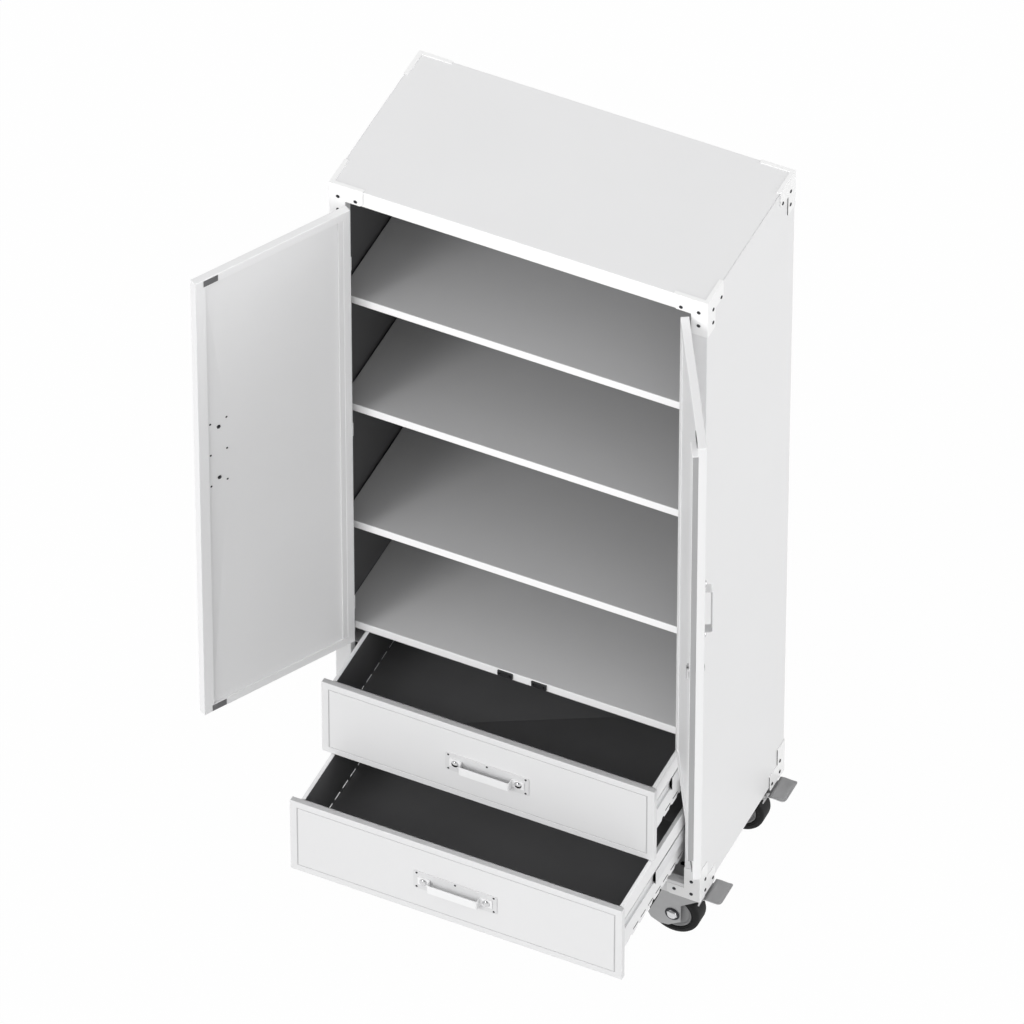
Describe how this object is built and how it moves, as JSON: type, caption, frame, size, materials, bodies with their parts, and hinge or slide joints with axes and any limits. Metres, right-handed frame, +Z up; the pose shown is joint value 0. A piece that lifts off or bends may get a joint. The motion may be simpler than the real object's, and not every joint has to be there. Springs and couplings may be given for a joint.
{
  "type": "rolling storage cabinet",
  "caption": "Tall white steel cabinet with hinged double doors over shelves, pull-out drawers below and swivel and rigid casters under the body.",
  "frame": {"origin": "centre of the flat underside of the body, where the caster plates bolt on", "axes": "+Z up, -Y out of the front past doors and drawers, +X to the right seen from the front"},
  "size_m": [1.2264, 0.8371, 2.0245],
  "materials": {
    "white_coat": "satin powder coat",
    "drawer_coat": "satin powder coat",
    "bracket_coat": "satin powder coat",
    "dark_rivet": "blackened",
    "zinc_plate": "zinc plated",
    "slide_steel": "zinc plated, drawn",
    "bright_fastener": "bright",
    "dark_strike": "dull",
    "catch_case": "moulded",
    "hub_plastic": "moulded",
    "tyre_rubber": "moulded rubber"
  },
  "bodies": {
    "cabinet": {"left_side_panel": "white_coat", "right_side_panel": "white_coat", "back_panel": "white_coat", "top_panel": "white_coat", "bottom_rail": "white_coat", "base_pan": "white_coat", "deck": "white_coat", "adjustable_shelves": "white_coat", "shelf_clips": "zinc_plate", "corner_brackets": "bracket_coat", "bracket_rivets": "dark_rivet", "magnet_catches": "catch_case", "frame_hinges": "bracket_coat", "outer_slides": "slide_steel", "slide_carriers": "slide_steel", "caster_plates": "zinc_plate", "caster_bolts": "bright_fastener", "rigid_forks": "zinc_plate", "rigid_axle_bolts": "bright_fastener"},
    "left_door": {"left_door_pan": "white_coat", "left_door_liner": "white_coat", "left_door_strikes": "dark_strike", "left_door_hinges": "bracket_coat", "left_door_handle": "white_coat", "left_door_handle_bolts": "bright_fastener"},
    "right_door": {"right_door_pan": "white_coat", "right_door_liner": "white_coat", "right_door_strikes": "dark_strike", "right_door_hinges": "bracket_coat", "right_door_handle": "white_coat", "right_door_handle_bolts": "bright_fastener", "edge_channel": "white_coat", "lock_cylinder": "bright_fastener"},
    "lock_cam": {"lock_cam": "bright_fastener"},
    "upper_drawer": {"upper_drawer_front": "white_coat", "upper_drawer_box": "drawer_coat", "upper_inner_slides": "slide_steel", "upper_drawer_handle": "white_coat", "upper_drawer_handle_bolts": "bright_fastener"},
    "lower_drawer": {"lower_drawer_front": "white_coat", "lower_drawer_box": "drawer_coat", "lower_inner_slides": "slide_steel", "lower_drawer_handle": "white_coat", "lower_drawer_handle_bolts": "bright_fastener"},
    "upper_slide": {"upper_middle_slides": "slide_steel"},
    "lower_slide": {"lower_middle_slides": "slide_steel"},
    "front_fork": {"front_swivel_fork": "zinc_plate", "front_axle_bolt": "bright_fastener"},
    "rear_fork": {"rear_swivel_fork": "zinc_plate", "rear_axle_bolt": "bright_fastener"},
    "front_pedal": {"front_brake_pedal": "zinc_plate"},
    "rear_pedal": {"rear_brake_pedal": "zinc_plate"},
    "front_left_wheel": {"front_left_hub": "hub_plastic", "front_left_tyre": "tyre_rubber"},
    "front_right_wheel": {"front_right_hub": "hub_plastic", "front_right_tyre": "tyre_rubber"},
    "rear_left_wheel": {"rear_left_hub": "hub_plastic", "rear_left_tyre": "tyre_rubber"},
    "rear_right_wheel": {"rear_right_hub": "hub_plastic", "rear_right_tyre": "tyre_rubber"}
  },
  "joints": [
    {"name": "left_door_hinge", "type": "hinge", "parent": "cabinet", "child": "left_door", "pos_m": [-0.411, -0.232, 0], "axis": [0, 0, 1], "range_deg": [-55, 120]},
    {"name": "right_door_hinge", "type": "hinge", "parent": "cabinet", "child": "right_door", "pos_m": [0.411, -0.232, 0], "axis": [0, 0, 1], "range_deg": [-120, 55]},
    {"name": "lock_turn", "type": "hinge", "parent": "right_door", "child": "lock_cam", "pos_m": [0.57522, -0.59445, 1.142], "axis": [-0.866, -0.5, 0], "range_deg": [0, 90]},
    {"name": "upper_drawer_run", "type": "slide", "parent": "cabinet", "child": "upper_drawer", "axis": [0, -1, 0], "range_m": [-0.1605, 0.2395]},
    {"name": "lower_drawer_run", "type": "slide", "parent": "cabinet", "child": "lower_drawer", "axis": [0, -1, 0], "range_m": [-0.3285, 0.0715]},
    {"name": "upper_slide_run", "type": "slide", "parent": "cabinet", "child": "upper_slide", "axis": [0, -1, 0], "range_m": [-0.08025, 0.11975]},
    {"name": "lower_slide_run", "type": "slide", "parent": "cabinet", "child": "lower_slide", "axis": [0, -1, 0], "range_m": [-0.16425, 0.03575]},
    {"name": "front_swivel", "type": "hinge", "parent": "cabinet", "child": "front_fork", "pos_m": [0.4, -0.1765, 0], "axis": [0, 0, 1], "continuous": true},
    {"name": "front_right_roll", "type": "hinge", "parent": "front_fork", "child": "front_right_wheel", "pos_m": [0.373, -0.1765, -0.094], "axis": [0, 1, 0], "continuous": true},
    {"name": "front_left_roll", "type": "hinge", "parent": "cabinet", "child": "front_left_wheel", "pos_m": [-0.4, -0.1765, -0.094], "axis": [0, 1, 0], "continuous": true},
    {"name": "front_brake_press", "type": "hinge", "parent": "front_fork", "child": "front_pedal", "pos_m": [0.4395, -0.1765, -0.019], "axis": [0, 1, 0], "range_deg": [0, 12]},
    {"name": "rear_swivel", "type": "hinge", "parent": "cabinet", "child": "rear_fork", "pos_m": [0.4, 0.1765, 0], "axis": [0, 0, 1], "continuous": true},
    {"name": "rear_right_roll", "type": "hinge", "parent": "rear_fork", "child": "rear_right_wheel", "pos_m": [0.373, 0.1765, -0.094], "axis": [0, 1, 0], "continuous": true},
    {"name": "rear_left_roll", "type": "hinge", "parent": "cabinet", "child": "rear_left_wheel", "pos_m": [-0.4, 0.1765, -0.094], "axis": [0, 1, 0], "continuous": true},
    {"name": "rear_brake_press", "type": "hinge", "parent": "rear_fork", "child": "rear_pedal", "pos_m": [0.4395, 0.1765, -0.019], "axis": [0, 1, 0], "range_deg": [0, 12]}
  ],
  "couplings": [
    {"joint": "upper_slide_run", "follows": "upper_drawer_run", "ratio": 0.5},
    {"joint": "lower_slide_run", "follows": "lower_drawer_run", "ratio": 0.5}
  ]
}
